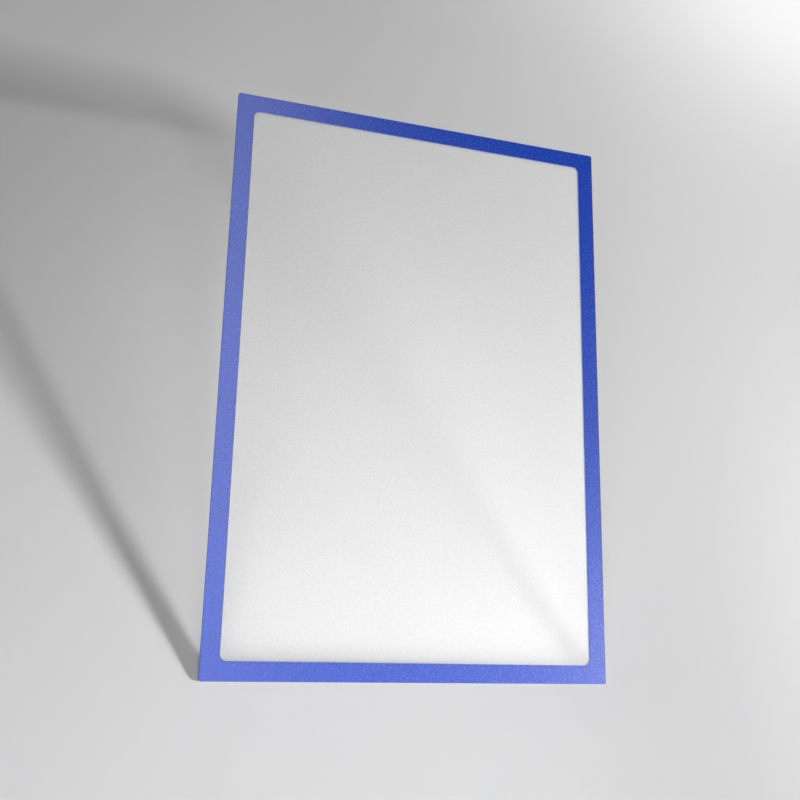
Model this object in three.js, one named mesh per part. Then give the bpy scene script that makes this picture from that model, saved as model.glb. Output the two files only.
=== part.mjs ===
// Magnetic display pocket for an upright A4 sheet, modelled flat and closed, in millimetres.
// +X runs towards the hinged long edge, +Z is up and the front faces -Y.
// The magnet strips' back faces lie in the plane y = 0, and the origin is the middle of the top one.
import * as THREE from 'three';

// The sheet that the pocket shows, and its room between the two side strips
const SHEET_WIDTH = 210;
const SHEET_HEIGHT = 297;
const SHEET_SIDE_CLEARANCE = 0.5;
const SLOT_DEPTH = 0.7;

// Outline: every layer is cut along the same outer edge
const SIDE_STRIP_WIDTH = 6.5;
const BORDER_WIDTH = 9.5;
const SHEET_END_COVER = 1.5;
const OUTER_CORNER_RADIUS = 1;
const WINDOW_CORNER_RADIUS = 3.5;
const MAGNET_WIDTH = 8;
const STRIP_END_GAP = 0.4;

// Thickness of each film, strip and tape
const MAGNET_THICKNESS = 0.7;
const TAPE_THICKNESS = 0.1;
const BACK_FRAME_THICKNESS = 0.3;
const HINGE_FILM_THICKNESS = 0.15;
const FRONT_FILM_THICKNESS = 0.3;
const BORDER_THICKNESS = 0.15;

const ARC_SEGMENTS = 4;

// Sizes that follow from those above
const WIDTH = SHEET_WIDTH + 2 * (SHEET_SIDE_CLEARANCE + SIDE_STRIP_WIDTH);
const HEIGHT = SHEET_HEIGHT + 2 * (BORDER_WIDTH - SHEET_END_COVER);
const CLOSING_STRIP_THICKNESS = SLOT_DEPTH - TAPE_THICKNESS;
const HINGE_SPACER_THICKNESS = SLOT_DEPTH - 2 * HINGE_FILM_THICKNESS;

// Edges of the outline and of the window in the pocket's own plane
const EDGE = {
  left: -WIDTH / 2,
  right: WIDTH / 2,
  top: MAGNET_WIDTH / 2,
  bottom: MAGNET_WIDTH / 2 - HEIGHT,
};
const WINDOW = {
  left: EDGE.left + BORDER_WIDTH,
  right: EDGE.right - BORDER_WIDTH,
  top: EDGE.top - BORDER_WIDTH,
  bottom: EDGE.bottom + BORDER_WIDTH,
};

// Depth of each layer's rear face, counted forwards from the back plane
const TAPE_DEPTH = MAGNET_THICKNESS;
const BACK_FRAME_DEPTH = TAPE_DEPTH + TAPE_THICKNESS;
const SLOT_START = BACK_FRAME_DEPTH + BACK_FRAME_THICKNESS;
const HINGE_FLAP_BACK_DEPTH = SLOT_START + HINGE_SPACER_THICKNESS;
const FOLD_DEPTH = HINGE_FLAP_BACK_DEPTH + HINGE_FILM_THICKNESS;
const CLOSING_TAPE_DEPTH = SLOT_START + CLOSING_STRIP_THICKNESS;
const FRONT_FILM_DEPTH = SLOT_START + SLOT_DEPTH;
const BORDER_DEPTH = FRONT_FILM_DEPTH + FRONT_FILM_THICKNESS;

// Finishes, one for each kind of film, strip and tape
const FINISH = {
  blueBackFilm: { color: 0x1f3fae, roughness: 0.55, metalness: 0 },
  blueGrainedFilm: { color: 0x2447c0, roughness: 0.5, metalness: 0 },
  frostedFilm: { color: 0xeef0f2, roughness: 0.6, metalness: 0, transparent: true, opacity: 0.45 },
  hingeFilm: { color: 0x2a4bb8, roughness: 0.4, metalness: 0 },
  magnetRubber: { color: 0x1c1d24, roughness: 0.8, metalness: 0 },
  mountingTape: { color: 0xd9d6cc, roughness: 0.7, metalness: 0 },
  spacerFilm: { color: 0x22304f, roughness: 0.6, metalness: 0 },
};

// A corner is rounded only where it is one of the pocket's own outer corners.
function outerCornerRadius(x, z) {
  const onSide = x === EDGE.left || x === EDGE.right;
  const onEnd = z === EDGE.top || z === EDGE.bottom;
  return onSide && onEnd ? OUTER_CORNER_RADIUS : 0;
}

// Draws a rectangle anticlockwise on a path, with a radius for each of its corners.
function traceRectangle(path, { left, right, top, bottom }, radiusAt) {
  const corners = [
    { x: right, z: bottom, inX: -1, inZ: 1, from: -Math.PI / 2 },
    { x: right, z: top, inX: -1, inZ: -1, from: 0 },
    { x: left, z: top, inX: 1, inZ: -1, from: Math.PI / 2 },
    { x: left, z: bottom, inX: 1, inZ: 1, from: Math.PI },
  ];
  path.moveTo((left + right) / 2, bottom);
  for (const { x, z, inX, inZ, from } of corners) {
    const radius = radiusAt(x, z);
    if (radius > 0) {
      path.absarc(x + inX * radius, z + inZ * radius, radius, from, from + Math.PI / 2);
    } else {
      path.lineTo(x, z);
    }
  }
  path.closePath();
  return path;
}

const solidOutline = (bounds) => traceRectangle(new THREE.Shape(), bounds, outerCornerRadius);

// The outline with the window cut out of it
function frameOutline() {
  const outline = solidOutline(EDGE);
  outline.holes.push(traceRectangle(new THREE.Path(), WINDOW, () => WINDOW_CORNER_RADIUS));
  return outline;
}

// One flat layer: its outline lies in the XZ plane and its thickness runs forwards, along -Y.
function layer(name, outline, depth, thickness, finish) {
  const geometry = new THREE.ExtrudeGeometry(outline, {
    depth: thickness,
    bevelEnabled: false,
    curveSegments: ARC_SEGMENTS,
  });
  geometry.rotateX(Math.PI / 2);
  const mesh = new THREE.Mesh(geometry, new THREE.MeshStandardMaterial(finish));
  mesh.name = name;
  mesh.position.y = -depth;
  return mesh;
}

// The strips run along the four edges; the side magnets butt against the top and bottom ones.
const besideEnds = MAGNET_WIDTH + STRIP_END_GAP;
const MAGNET_BOUNDS = {
  top: { ...EDGE, bottom: EDGE.top - MAGNET_WIDTH },
  bottom: { ...EDGE, top: EDGE.bottom + MAGNET_WIDTH },
  left: {
    left: EDGE.left,
    right: EDGE.left + MAGNET_WIDTH,
    top: EDGE.top - besideEnds,
    bottom: EDGE.bottom + besideEnds,
  },
  right: {
    left: EDGE.right - MAGNET_WIDTH,
    right: EDGE.right,
    top: EDGE.top - besideEnds,
    bottom: EDGE.bottom + besideEnds,
  },
};
const CLOSING_BOUNDS = { ...EDGE, right: EDGE.left + SIDE_STRIP_WIDTH };
const HINGE_BOUNDS = { ...EDGE, left: EDGE.right - SIDE_STRIP_WIDTH };

// Back leaf: the frame that stays on the board, with its magnets and the rear half of the hinge
function makeBackLeaf() {
  const leaf = new THREE.Group();
  leaf.name = 'back_leaf';
  for (const [side, bounds] of Object.entries(MAGNET_BOUNDS)) {
    const outline = solidOutline(bounds);
    leaf.add(layer(`magnet_${side}`, outline, 0, MAGNET_THICKNESS, FINISH.magnetRubber));
    leaf.add(layer(`tape_${side}`, outline, TAPE_DEPTH, TAPE_THICKNESS, FINISH.mountingTape));
  }
  const hinge = solidOutline(HINGE_BOUNDS);
  leaf.add(
    layer('back_frame', frameOutline(), BACK_FRAME_DEPTH, BACK_FRAME_THICKNESS, FINISH.blueBackFilm),
    layer('hinge_spacer', hinge, SLOT_START, HINGE_SPACER_THICKNESS, FINISH.spacerFilm),
    layer('hinge_flap_back', hinge, HINGE_FLAP_BACK_DEPTH, HINGE_FILM_THICKNESS, FINISH.hingeFilm),
  );
  return leaf;
}

// Front leaf: turns about the fold line, at the hinged edge between the two flaps
function makeFrontLeaf() {
  const leaf = new THREE.Group();
  leaf.name = 'front_leaf';
  const closing = solidOutline(CLOSING_BOUNDS);
  const hinge = solidOutline(HINGE_BOUNDS);
  leaf.add(
    layer('hinge_flap_front', hinge, FOLD_DEPTH, HINGE_FILM_THICKNESS, FINISH.hingeFilm),
    layer('closing_strip', closing, SLOT_START, CLOSING_STRIP_THICKNESS, FINISH.magnetRubber),
    layer('closing_tape', closing, CLOSING_TAPE_DEPTH, TAPE_THICKNESS, FINISH.mountingTape),
    layer('front_film', solidOutline(EDGE), FRONT_FILM_DEPTH, FRONT_FILM_THICKNESS, FINISH.frostedFilm),
    layer('front_border', frameOutline(), BORDER_DEPTH, BORDER_THICKNESS, FINISH.blueGrainedFilm),
  );
  const foldLine = new THREE.Vector3(EDGE.right, -FOLD_DEPTH, 0);
  for (const mesh of leaf.children) {
    mesh.position.sub(foldLine);
  }
  leaf.position.copy(foldLine);
  return leaf;
}

const pocket = new THREE.Group();
pocket.name = 'magnetic_display_pocket';
pocket.add(makeBackLeaf(), makeFrontLeaf());

export default pocket;
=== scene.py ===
"""Magnetic display pocket: camera, stage, light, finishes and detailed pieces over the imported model."""
import math

import bmesh
import bpy
from mathutils import Matrix, Vector


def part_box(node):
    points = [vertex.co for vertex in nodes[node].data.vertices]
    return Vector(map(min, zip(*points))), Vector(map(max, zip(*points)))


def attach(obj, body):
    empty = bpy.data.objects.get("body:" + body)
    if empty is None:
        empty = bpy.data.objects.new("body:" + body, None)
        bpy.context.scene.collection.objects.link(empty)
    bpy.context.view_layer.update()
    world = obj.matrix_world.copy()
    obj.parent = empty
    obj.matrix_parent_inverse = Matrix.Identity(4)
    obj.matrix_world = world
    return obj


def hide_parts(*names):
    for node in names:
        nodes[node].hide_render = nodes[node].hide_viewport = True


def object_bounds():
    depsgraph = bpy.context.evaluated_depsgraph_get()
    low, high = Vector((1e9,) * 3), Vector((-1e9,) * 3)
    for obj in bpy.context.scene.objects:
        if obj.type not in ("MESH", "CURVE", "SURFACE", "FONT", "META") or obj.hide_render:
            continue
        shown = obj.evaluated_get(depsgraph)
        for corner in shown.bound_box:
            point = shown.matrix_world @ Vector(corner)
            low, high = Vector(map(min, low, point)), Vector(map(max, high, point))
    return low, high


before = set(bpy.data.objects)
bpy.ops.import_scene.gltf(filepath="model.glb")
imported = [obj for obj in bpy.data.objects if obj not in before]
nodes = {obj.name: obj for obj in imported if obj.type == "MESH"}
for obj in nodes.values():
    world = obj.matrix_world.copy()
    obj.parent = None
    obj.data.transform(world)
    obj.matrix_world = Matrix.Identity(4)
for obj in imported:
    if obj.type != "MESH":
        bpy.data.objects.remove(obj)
cad_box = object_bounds()
scene = bpy.context.scene

MM = 0.001
PER_MM = (1 / MM, 1 / MM, 1 / MM)

# Outline of the pocket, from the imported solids, and the window in it
BORDER_LOW, BORDER_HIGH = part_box("front_border")
OUTLINE_WIDTH = BORDER_HIGH.x - BORDER_LOW.x
OUTLINE_HEIGHT = BORDER_HIGH.z - BORDER_LOW.z
OUTLINE_MIDDLE = (BORDER_LOW + BORDER_HIGH) / 2
FOOT_HEIGHT = cad_box[0][2]
BORDER_WIDTH = 9.5 * MM
WINDOW_WIDTH = OUTLINE_WIDTH - 2 * BORDER_WIDTH
WINDOW_HEIGHT = OUTLINE_HEIGHT - 2 * BORDER_WIDTH
OUTER_RADIUS = 1.0 * MM
WINDOW_RADIUS = 3.5 * MM


# Camera

IMAGE_SIZE = 800
SENSOR_MM = 36.0
FOCAL_PIXELS = 994.0
IMAGE_CENTRE = (351.5, 334.1)
CAMERA_PLACE = Vector((-0.1993, -0.5058, -0.2635))
CAMERA_FORWARD = Vector((0.2904, 0.924, 0.2486))
CAMERA_UP = Vector((-0.1082, -0.2264, 0.968))
CAMERA_NEAR_LIMIT = 0.01


def make_camera():
    """The photograph's viewpoint, with a shift because its centre of view is not its middle."""
    back = -CAMERA_FORWARD.normalized()
    right = CAMERA_UP.cross(back).normalized()
    up = back.cross(right)
    camera = bpy.data.cameras.new("photo_camera")
    camera.sensor_width = SENSOR_MM
    camera.lens = FOCAL_PIXELS / IMAGE_SIZE * SENSOR_MM
    camera.shift_x = (IMAGE_SIZE / 2 - IMAGE_CENTRE[0]) / IMAGE_SIZE
    camera.shift_y = (IMAGE_CENTRE[1] - IMAGE_SIZE / 2) / IMAGE_SIZE
    camera.clip_start = CAMERA_NEAR_LIMIT
    holder = bpy.data.objects.new("photo_camera", camera)
    turn = Matrix((right, up, back)).transposed().to_4x4()
    holder.matrix_world = Matrix.Translation(CAMERA_PLACE) @ turn
    scene.collection.objects.link(holder)
    scene.camera = holder


# Node helpers

def feed(tree, socket, value):
    """Links a socket to another node's output, or sets it to a plain value."""
    if isinstance(value, bpy.types.NodeSocket):
        tree.links.new(value, socket)
    else:
        socket.default_value = value


def add_node(tree, kind, settings=None, **inputs):
    """A node of that kind; settings are its own properties and inputs its sockets, by name."""
    node = tree.nodes.new(kind)
    for name, value in (settings or {}).items():
        setattr(node, name, value)
    for name, value in inputs.items():
        feed(tree, node.inputs[name.replace("_", " ")], value)
    return node


def calculate(tree, operation, *values):
    """The result of a Math node over plain values or other nodes' outputs."""
    node = add_node(tree, "ShaderNodeMath", {"operation": operation})
    for socket, value in zip(node.inputs, values):
        feed(tree, socket, value)
    return node.outputs["Value"]


def object_pattern(tree, scale_xyz):
    """Object coordinates in metres, stretched by one factor for each axis."""
    place = add_node(tree, "ShaderNodeTexCoord")
    stretch = add_node(tree, "ShaderNodeMapping", Vector=place.outputs["Object"], Scale=scale_xyz)
    return stretch.outputs["Vector"]


def noise(tree, pattern, **settings):
    """A cloudy value from 0 to 1 over a pattern."""
    return add_node(tree, "ShaderNodeTexNoise", Vector=pattern, **settings).outputs["Fac"]


def ramp(tree, factor, positions, colours):
    """A colour ramp over factor, from one colour at its position to the other at its own."""
    node = add_node(tree, "ShaderNodeValToRGB", Fac=factor)
    for point, position, colour in zip(node.color_ramp.elements, positions, colours):
        point.position = position
        point.color = (*colour, 1)
    return node.outputs["Color"]


def in_range(tree, value, low, high):
    """Maps a 0 to 1 value to low to high."""
    node = add_node(tree, "ShaderNodeMapRange", Value=value, To_Min=low, To_Max=high)
    return node.outputs["Result"]


def bumped(tree, height, strength, depth_mm, invert=False):
    """The normal of a surface that rises with height, or sinks with it where invert is set."""
    bump = add_node(
        tree,
        "ShaderNodeBump",
        {"invert": invert},
        Strength=strength,
        Distance=depth_mm * MM,
        Height=height,
    )
    return bump.outputs["Normal"]


def principled(tree, colour, roughness, **inputs):
    """A Principled shader with that colour and roughness."""
    shader = add_node(
        tree, "ShaderNodeBsdfPrincipled", Base_Color=colour, Roughness=roughness, **inputs
    )
    return shader.outputs["BSDF"]


def mix_shaders(tree, share, first, second):
    """Two shaders mixed, with share of the second one."""
    mixed = add_node(tree, "ShaderNodeMixShader", Fac=share)
    feed(tree, mixed.inputs[1], first)
    feed(tree, mixed.inputs[2], second)
    return mixed.outputs["Shader"]


def new_material(name):
    """A bare node material and the tree to fill, with its output node."""
    material = bpy.data.materials.new(name)
    material.use_nodes = True
    tree = material.node_tree
    tree.nodes.clear()
    output = tree.nodes.new("ShaderNodeOutputMaterial")
    return material, tree, output


def close_material(material, tree, output, surface):
    """Links the finished shader to the material's output."""
    feed(tree, output.inputs["Surface"], surface)
    return material


# Stage, light and background

STAGE_TILT = math.radians(68)
STAGE_SIZE = 6.0
STAGE_FADE = (1.1, 2.2)
STAGE_COLOUR = (0.88, 0.88, 0.885, 1)
STAGE_ROUGHNESS = 0.6
BACKDROP_COLOURS = ((0.82, 0.82, 0.82), (0.01, 0.01, 0.011))
BACKDROP_STOPS = (0.0, 1.0)
DARK_CORNER = Vector((0.612, -0.367, 0.701))
DARK_REACH = (0.6, 0.83)
SURROUND_SEEN = 1.0
SURROUND_LIGHT = 0.04

# Lights: place, aim, width, height, power and the angle in degrees that each spreads over
POCKET_MIDDLE = (0, 0, OUTLINE_MIDDLE.z)
KEY_PLACE = (1.71, -1.13, -0.505)
LIGHTS = {
    "key_light": (KEY_PLACE, POCKET_MIDDLE, 0.32, 0.32, 35.5, 180),
    "low_key_light": (KEY_PLACE, (-0.06, -0.03, -0.42), 0.32, 0.32, 0.25, 22),
    "strip_light": ((0.0, -0.85, 0.05), POCKET_MIDDLE, 0.3, 1.3, 0.85, 180),
    "low_light": ((-0.45, -0.7, -0.85), (-0.1, -0.05, -0.35), 0.3, 0.3, 0.19, 35),
    "floor_light": ((0.58, -0.5, -0.75), (0.47, -0.03, -0.45), 0.3, 0.3, 0.9, 38),
    "foot_light": ((0.1, -0.5, -0.85), (0.08, -0.05, -0.48), 0.15, 0.15, 0.055, 29),
    "rear_light": ((0.65, -0.05, 0.6), (0.47, 0.25, 0.3), 0.4, 0.4, 0.55, 80),
}


def stage_material():
    """Pale seamless board, clear from behind and fading out towards its edges."""
    material, tree, output = new_material("pale_stage")
    board = add_node(tree, "ShaderNodeBsdfDiffuse", Color=STAGE_COLOUR, Roughness=STAGE_ROUGHNESS)
    clear = add_node(tree, "ShaderNodeBsdfTransparent")
    place = add_node(tree, "ShaderNodeTexCoord")
    reach = add_node(tree, "ShaderNodeVectorMath", {"operation": "LENGTH"})
    feed(tree, reach.inputs[0], place.outputs["Object"])
    fade = add_node(
        tree,
        "ShaderNodeMapRange",
        {"interpolation_type": "SMOOTHSTEP"},
        Value=reach.outputs["Value"],
        From_Min=STAGE_FADE[0],
        From_Max=STAGE_FADE[1],
    )
    behind = add_node(tree, "ShaderNodeNewGeometry").outputs["Backfacing"]
    hidden = calculate(tree, "MAXIMUM", fade.outputs["Result"], behind)
    surface = mix_shaders(tree, hidden, board.outputs["BSDF"], clear.outputs["BSDF"])
    return close_material(material, tree, output, surface)


def make_stage():
    """The plain board that the pocket's foot stands on; it leans, since the pocket leans back on it."""
    half = STAGE_SIZE / 2
    mesh = bpy.data.meshes.new("stage")
    corners = [(-half, -half, 0), (half, -half, 0), (half, half, 0), (-half, half, 0)]
    mesh.from_pydata(corners, [], [(0, 1, 2, 3)])
    mesh.materials.append(stage_material())
    stage = bpy.data.objects.new("stage", mesh)
    stage.matrix_world = Matrix.Translation((0, 0, FOOT_HEIGHT)) @ Matrix.Rotation(STAGE_TILT, 4, "X")
    scene.collection.objects.link(stage)


def make_lights():
    """Soft area lights, each turned to its aim; none shows in the picture or through the film."""
    for name, (place, aim, width, height, power, spread) in LIGHTS.items():
        lamp = bpy.data.lights.new(name, "AREA")
        lamp.shape = "ELLIPSE"
        lamp.size = width
        lamp.size_y = height
        lamp.energy = power
        lamp.spread = math.radians(spread)
        holder = bpy.data.objects.new(name, lamp)
        turn = (Vector(aim) - Vector(place)).to_track_quat("-Z", "Y").to_matrix().to_4x4()
        holder.matrix_world = Matrix.Translation(place) @ turn
        holder.visible_camera = False
        holder.visible_transmission = False
        scene.collection.objects.link(holder)


def make_background():
    """A pale surround with one dark corner, high on the right in front; it is weaker as light."""
    world = bpy.data.worlds.new("studio")
    world.use_nodes = True
    tree = world.node_tree
    tree.nodes.clear()
    output = tree.nodes.new("ShaderNodeOutputWorld")
    towards = add_node(tree, "ShaderNodeVectorMath", {"operation": "DOT_PRODUCT"})
    feed(tree, towards.inputs[0], add_node(tree, "ShaderNodeTexCoord").outputs["Generated"])
    feed(tree, towards.inputs[1], DARK_CORNER)
    corner = add_node(
        tree,
        "ShaderNodeMapRange",
        Value=towards.outputs["Value"],
        From_Min=DARK_REACH[0],
        From_Max=DARK_REACH[1],
    )
    colour = ramp(tree, corner.outputs["Result"], BACKDROP_STOPS, BACKDROP_COLOURS)
    seen = add_node(tree, "ShaderNodeBackground", Color=colour, Strength=SURROUND_SEEN)
    light = add_node(tree, "ShaderNodeBackground", Color=colour, Strength=SURROUND_LIGHT)
    path = add_node(tree, "ShaderNodeLightPath").outputs
    looks = path["Is Camera Ray"]
    for kind in ("Is Glossy Ray", "Is Transmission Ray"):
        looks = calculate(tree, "MAXIMUM", looks, path[kind])
    surface = mix_shaders(tree, looks, light.outputs["Background"], seen.outputs["Background"])
    feed(tree, output.inputs["Surface"], surface)
    scene.world = world


# Finishes

# Sand grain: spacing and depth of its beads, and how quickly their height drifts from bead to bead
BORDER_GRAIN = {"spacing_mm": 0.55, "drift": 1.1, "depth_mm": 0.06, "strength": 1.0}
FILM_GRAIN = {"spacing_mm": 0.6, "drift": 0.6, "depth_mm": 0.04, "strength": 0.5}
GRAIN_DRIFT = {"Detail": 4.0, "Roughness": 0.6}
GRAIN_STOPS = (0.12, 0.31)

# Colours and roughness of the grained films, from the tops of the grain to its pits
BORDER_COLOURS = ((0.007, 0.080, 0.66), (0.003, 0.052, 0.49))
BORDER_ROUGHNESS = (0.25, 0.34)
BORDER_IOR = 1.66
BORDER_SHEEN = 1.0
FILM_COLOURS = ((0.98, 0.98, 0.98), (0.85, 0.85, 0.855))
FILM_ROUGHNESS = (0.44, 0.58)
FILM_SHEEN = 0.5

# How clear the film is over the window and under the border, and what light it lets by
FILM_CLEARNESS = (0.8, 0.97)
FILM_LETS_BY = (0.86, 0.86, 0.86, 1)
FILM_HAZE_COLOUR = (0.97, 0.97, 0.97, 1)
FILM_HAZE = 0.48

# Satin films: colours of their drawn lines, and middle roughness
SATIN_FILMS = {
    "blue_back_film": ((0.018, 0.060, 0.46), (0.011, 0.042, 0.38), 0.5),
    "hinge_film": ((0.028, 0.085, 0.54), (0.017, 0.058, 0.43), 0.4),
    "spacer_film": ((0.02, 0.036, 0.09), (0.012, 0.024, 0.07), 0.55),
}
SATIN_STRETCH = (2500, 2500, 40)
SATIN_LINES = {"Scale": 1.0, "Detail": 3.0}
SATIN_STOPS = (0.3, 0.7)
SATIN_ROUGHNESS_SWING = 0.06
SATIN_BUMP = {"strength": 0.25, "depth_mm": 0.02}

RUBBER_SPECKS = {"Scale": 3.0, "Detail": 5.0, "Roughness": 0.7}
RUBBER_LINES = {"Scale": 1.0, "Detail": 2.0}
RUBBER_STRETCH = {"upright": (3000, 3000, 60), "level": (60, 3000, 3000)}
RUBBER_STOPS = (0.35, 0.75)
RUBBER_COLOURS = ((0.009, 0.009, 0.012), (0.035, 0.034, 0.036))
RUBBER_ROUGHNESS = (0.68, 0.86)
RUBBER_BUMP = {"strength": 0.5, "depth_mm": 0.04}

TAPE_STRETCH = (400, 1500, 400)
TAPE_FIBRES = {"Scale": 1.0, "Detail": 4.0, "Distortion": 0.6}
TAPE_STOPS = (0.3, 0.7)
TAPE_COLOURS = ((0.60, 0.58, 0.51), (0.76, 0.74, 0.68))
TAPE_ROUGHNESS = (0.5, 0.75)


def sand_grain(tree, spacing_mm, drift, depth_mm, strength):
    """Depth pattern and bumped normal of an embossed sand grain, with its beads standing proud."""
    pattern = object_pattern(tree, PER_MM)
    beads = add_node(
        tree, "ShaderNodeTexVoronoi", {"feature": "SMOOTH_F1"}, Vector=pattern, Scale=1 / spacing_mm
    )
    uneven = noise(tree, pattern, Scale=drift / spacing_mm, **GRAIN_DRIFT)
    depth = calculate(tree, "MULTIPLY", beads.outputs["Distance"], uneven)
    return depth, bumped(tree, depth, strength, depth_mm, invert=True)


def blue_border_film():
    """Cobalt film with a sand grain, a little lighter and glossier on the tops of the grain."""
    material, tree, output = new_material("blue_border_film")
    depth, normal = sand_grain(tree, **BORDER_GRAIN)
    surface = principled(
        tree,
        ramp(tree, depth, GRAIN_STOPS, BORDER_COLOURS),
        in_range(tree, depth, *BORDER_ROUGHNESS),
        Normal=normal,
        IOR=BORDER_IOR,
        Specular_IOR_Level=BORDER_SHEEN,
    )
    return close_material(material, tree, output, surface)


def outside(tree, value, middle, half):
    """1 where value is more than half away from middle, and 0 nearer."""
    return calculate(tree, "SUBTRACT", 1.0, calculate(tree, "COMPARE", value, middle, half))


def under_border(tree):
    """1 where the border is bonded to the film, 0 over the window."""
    place = add_node(tree, "ShaderNodeTexCoord")
    split = add_node(tree, "ShaderNodeSeparateXYZ", Vector=place.outputs["Object"]).outputs
    beside = outside(tree, split["X"], OUTLINE_MIDDLE.x, WINDOW_WIDTH / 2)
    above_or_below = outside(tree, split["Z"], OUTLINE_MIDDLE.z, WINDOW_HEIGHT / 2)
    return calculate(tree, "MAXIMUM", beside, above_or_below)


def frosted_film():
    """See-through film with a shallower grain than the border's, clearer where that is bonded on."""
    material, tree, output = new_material("frosted_film")
    depth, normal = sand_grain(tree, **FILM_GRAIN)
    film = principled(
        tree,
        ramp(tree, depth, GRAIN_STOPS, FILM_COLOURS),
        in_range(tree, depth, *FILM_ROUGHNESS),
        Normal=normal,
        Transmission_Weight=in_range(tree, under_border(tree), *FILM_CLEARNESS),
        Specular_IOR_Level=FILM_SHEEN,
    )
    # Lamp light goes straight through to the stage; light from other surfaces meets some haze
    straight = add_node(tree, "ShaderNodeBsdfTransparent", Color=FILM_LETS_BY).outputs["BSDF"]
    haze = add_node(tree, "ShaderNodeBsdfDiffuse", Color=FILM_HAZE_COLOUR).outputs["BSDF"]
    hazy = mix_shaders(tree, FILM_HAZE, straight, haze)
    path = add_node(tree, "ShaderNodeLightPath").outputs
    surface = mix_shaders(tree, path["Is Shadow Ray"], film, straight)
    surface = mix_shaders(tree, path["Is Diffuse Ray"], surface, hazy)
    return close_material(material, tree, output, surface)


def satin_film(name):
    """Smooth rolled film with faint drawn lines along the pocket's height."""
    light_colour, dark_colour, roughness = SATIN_FILMS[name]
    material, tree, output = new_material(name)
    lines = noise(tree, object_pattern(tree, SATIN_STRETCH), **SATIN_LINES)
    surface = principled(
        tree,
        ramp(tree, lines, SATIN_STOPS, (light_colour, dark_colour)),
        in_range(tree, lines, roughness - SATIN_ROUGHNESS_SWING, roughness + SATIN_ROUGHNESS_SWING),
        Normal=bumped(tree, lines, **SATIN_BUMP),
    )
    return close_material(material, tree, output, surface)


def magnet_rubber(lie):
    """Dull ferrite rubber: fine powder specks, and faint rolled lines along the strip."""
    material, tree, output = new_material("magnet_rubber_" + lie)
    specks = noise(tree, object_pattern(tree, PER_MM), **RUBBER_SPECKS)
    rolled = noise(tree, object_pattern(tree, RUBBER_STRETCH[lie]), **RUBBER_LINES)
    height = calculate(tree, "ADD", specks, rolled)
    surface = principled(
        tree,
        ramp(tree, specks, RUBBER_STOPS, RUBBER_COLOURS),
        in_range(tree, rolled, *RUBBER_ROUGHNESS),
        Normal=bumped(tree, height, **RUBBER_BUMP),
    )
    return close_material(material, tree, output, surface)


def mounting_tape():
    """Dull adhesive tape with a loose fibre pattern."""
    material, tree, output = new_material("mounting_tape")
    fibres = noise(tree, object_pattern(tree, TAPE_STRETCH), **TAPE_FIBRES)
    surface = principled(
        tree,
        ramp(tree, fibres, TAPE_STOPS, TAPE_COLOURS),
        in_range(tree, fibres, *TAPE_ROUGHNESS),
    )
    return close_material(material, tree, output, surface)


# Die-cut layers, made by one Geometry Nodes tree

LAYER_SIZES = (
    "Width",
    "Height",
    "Corner Radius",
    "Window Width",
    "Window Height",
    "Window Radius",
    "Thickness",
)
CORNER_STEPS = 10
WELD_DISTANCE = 1e-6


def rounded_outline(tree, width, height, radius):
    """A rectangle curve with rounded corners, in the XY plane."""
    sides = add_node(tree, "GeometryNodeCurvePrimitiveQuadrilateral", Width=width, Height=height)
    corners = add_node(
        tree,
        "GeometryNodeFilletCurve",
        {"mode": "POLY"},
        Curve=sides.outputs["Curve"],
        Radius=radius,
        Count=CORNER_STEPS,
    )
    return corners.outputs["Curve"]


def join(tree, *parts):
    """Several geometries as one."""
    node = tree.nodes.new("GeometryNodeJoinGeometry")
    for part in parts:
        tree.links.new(part, node.inputs["Geometry"])
    return node.outputs["Geometry"]


def die_cut_tree():
    """Cuts a flat layer with rounded corners, and a window where it has a width, to a thickness."""
    tree = bpy.data.node_groups.new("die_cut_layer", "GeometryNodeTree")
    for name in LAYER_SIZES:
        tree.interface.new_socket(name, in_out="INPUT", socket_type="NodeSocketFloat")
    tree.interface.new_socket("Rear Middle", in_out="INPUT", socket_type="NodeSocketVector")
    tree.interface.new_socket("Finish", in_out="INPUT", socket_type="NodeSocketMaterial")
    tree.interface.new_socket("Layer", in_out="OUTPUT", socket_type="NodeSocketGeometry")
    given = tree.nodes.new("NodeGroupInput").outputs
    result = tree.nodes.new("NodeGroupOutput").inputs
    outer = rounded_outline(tree, given["Width"], given["Height"], given["Corner Radius"])
    window = rounded_outline(
        tree, given["Window Width"], given["Window Height"], given["Window Radius"]
    )
    open_layer = add_node(
        tree, "FunctionNodeCompare", {"operation": "GREATER_THAN"}, A=given["Window Width"], B=0.0
    )
    outline = add_node(
        tree,
        "GeometryNodeSwitch",
        {"input_type": "GEOMETRY"},
        Switch=open_layer.outputs["Result"],
        **{"False": outer, "True": join(tree, outer, window)},
    )
    sheet = add_node(
        tree, "GeometryNodeFillCurve", {"mode": "TRIANGLES"}, Curve=outline.outputs["Output"]
    )
    raised = add_node(
        tree,
        "GeometryNodeExtrudeMesh",
        {"mode": "FACES"},
        Mesh=sheet.outputs["Mesh"],
        Offset_Scale=given["Thickness"],
        Individual=False,
    )
    rear = add_node(tree, "GeometryNodeFlipFaces", Mesh=sheet.outputs["Mesh"])
    closed = add_node(
        tree,
        "GeometryNodeMergeByDistance",
        Geometry=join(tree, raised.outputs["Mesh"], rear.outputs["Mesh"]),
        Distance=WELD_DISTANCE,
    )
    placed = add_node(
        tree,
        "GeometryNodeTransform",
        Geometry=closed.outputs["Geometry"],
        Translation=given["Rear Middle"],
        Rotation=(math.pi / 2, 0, 0),
    )
    real = add_node(
        tree, "GeometryNodeRealizeInstances", Geometry=placed.outputs["Geometry"]
    )
    finished = add_node(
        tree,
        "GeometryNodeSetMaterial",
        Geometry=real.outputs["Geometry"],
        Material=given["Finish"],
    )
    tree.links.new(finished.outputs["Geometry"], result["Layer"])
    return tree


# Detailed pieces

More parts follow.
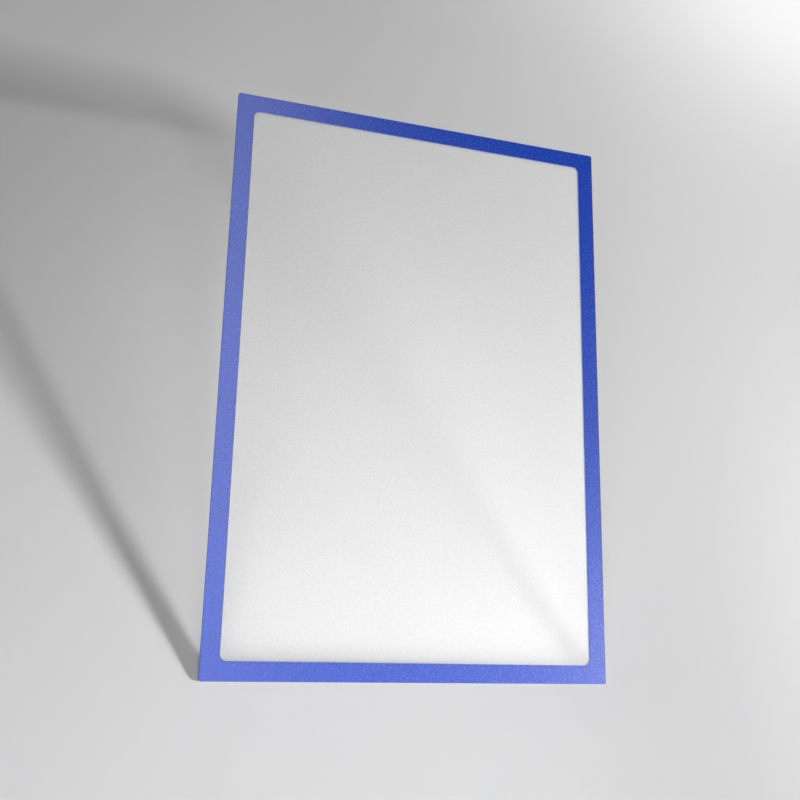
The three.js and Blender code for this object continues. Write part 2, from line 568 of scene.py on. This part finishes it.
LAYER_EDGE_SHARE = 0.2
STRIP_EDGE_RADIUS = 0.12 * MM
EDGE_SEGMENTS = 2
SHARP_ANGLE = math.radians(40)
FLAT_ANGLE = math.radians(1)

# What the film stays clear of the layers on both sides, so that no two faces coincide
FILM_SKIN_GAP = 0.004 * MM


def as_plain_mesh(piece):
    """Turns a piece's modifiers into its own mesh."""
    bpy.context.view_layer.update()
    evaluated = piece.evaluated_get(bpy.context.evaluated_depsgraph_get())
    mesh = bpy.data.meshes.new_from_object(evaluated)
    piece.modifiers.clear()
    piece.data = mesh
    mesh.name = piece.name
    return piece


def soften_edges(piece, radius):
    """Rounds the sharp cut edges a little."""
    bevel = piece.modifiers.new("cut_edge", "BEVEL")
    bevel.width = radius
    bevel.segments = EDGE_SEGMENTS
    bevel.limit_method = "ANGLE"
    bevel.angle_limit = SHARP_ANGLE


def die_cut_piece(name, tree, finish, sizes, rear_middle, edge_radius):
    """One layer from the die-cut tree, with softened edges."""
    piece = bpy.data.objects.new(name, bpy.data.meshes.new(name))
    scene.collection.objects.link(piece)
    layer = piece.modifiers.new("die_cut", "NODES")
    layer.node_group = tree
    values = {**sizes, "Rear Middle": rear_middle, "Finish": finish}
    for item in tree.interface.items_tree:
        if item.in_out == "INPUT":
            layer[item.identifier] = values[item.name]
    soften_edges(piece, edge_radius)
    return as_plain_mesh(piece)


def softened_copy(node, name, finish, edge_radius):
    """A strip with the CAD node's outline and slightly rounded edges."""
    mesh = nodes[node].data.copy()
    mesh.materials.clear()
    mesh.materials.append(finish)
    work = bmesh.new()
    work.from_mesh(mesh)
    bmesh.ops.remove_doubles(work, verts=work.verts, dist=WELD_DISTANCE)
    bmesh.ops.dissolve_limit(work, angle_limit=FLAT_ANGLE, verts=work.verts, edges=work.edges)
    work.to_mesh(mesh)
    work.free()
    piece = bpy.data.objects.new(name, mesh)
    scene.collection.objects.link(piece)
    soften_edges(piece, edge_radius)
    return as_plain_mesh(piece)


def fit_piece(piece, body, node):
    """Lets a piece stand for a CAD node, on the node's body."""
    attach(piece, body)
    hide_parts(node)


def make_die_cut_pieces():
    """The border, the film and the rear frame, all cut from the same outline."""
    tree = die_cut_tree()
    solid = {
        "Width": OUTLINE_WIDTH,
        "Height": OUTLINE_HEIGHT,
        "Corner Radius": OUTER_RADIUS,
        "Window Width": 0.0,
        "Window Height": 0.0,
        "Window Radius": 0.0,
    }
    ring = {
        **solid,
        "Window Width": WINDOW_WIDTH,
        "Window Height": WINDOW_HEIGHT,
        "Window Radius": WINDOW_RADIUS,
    }
    border, film, back = blue_border_film(), frosted_film(), satin_film("blue_back_film")
    plans = (
        ("border_skin", "front_border", "front_leaf", ring, border, "blue_border_film", 0.0),
        ("window_film", "front_film", "front_leaf", solid, film, "frosted_film", FILM_SKIN_GAP),
        ("rear_frame", "back_frame", "back_leaf", ring, back, "blue_back_film", 0.0),
    )
    for name, node, body, sizes, finish, slot, gap in plans:
        low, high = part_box(node)
        thickness = high.y - low.y - 2 * gap
        sizes = {**sizes, "Thickness": thickness}
        rear = (OUTLINE_MIDDLE.x, high.y - gap, OUTLINE_MIDDLE.z)
        piece = die_cut_piece(name, tree, finish, sizes, rear, LAYER_EDGE_SHARE * thickness)
        fit_piece(piece, body, node)


def make_strips():
    """The magnet strips and the closing strip, with softened edges."""
    upright = magnet_rubber("upright")
    level = magnet_rubber("level")
    strips = (
        ("magnet_top", "back_leaf", level),
        ("magnet_bottom", "back_leaf", level),
        ("magnet_left", "back_leaf", upright),
        ("magnet_right", "back_leaf", upright),
        ("closing_strip", "front_leaf", upright),
    )
    for node, body, finish in strips:
        piece = softened_copy(node, node + "_soft", finish, STRIP_EDGE_RADIUS)
        fit_piece(piece, body, node)


def dress_kept_nodes():
    """Finishes for the CAD nodes that keep their own shape."""
    hinge = satin_film("hinge_film")
    tape = mounting_tape()
    finishes = {
        "tape_top": tape,
        "tape_bottom": tape,
        "tape_left": tape,
        "tape_right": tape,
        "closing_tape": tape,
        "hinge_flap_back": hinge,
        "hinge_flap_front": hinge,
        "hinge_spacer": satin_film("spacer_film"),
    }
    for node, finish in finishes.items():
        slots = nodes[node].data.materials
        slots.clear()
        slots.append(finish)


make_camera()
make_stage()
make_background()
make_lights()
make_die_cut_pieces()
make_strips()
dress_kept_nodes()

scene.view_settings.view_transform = "Standard"
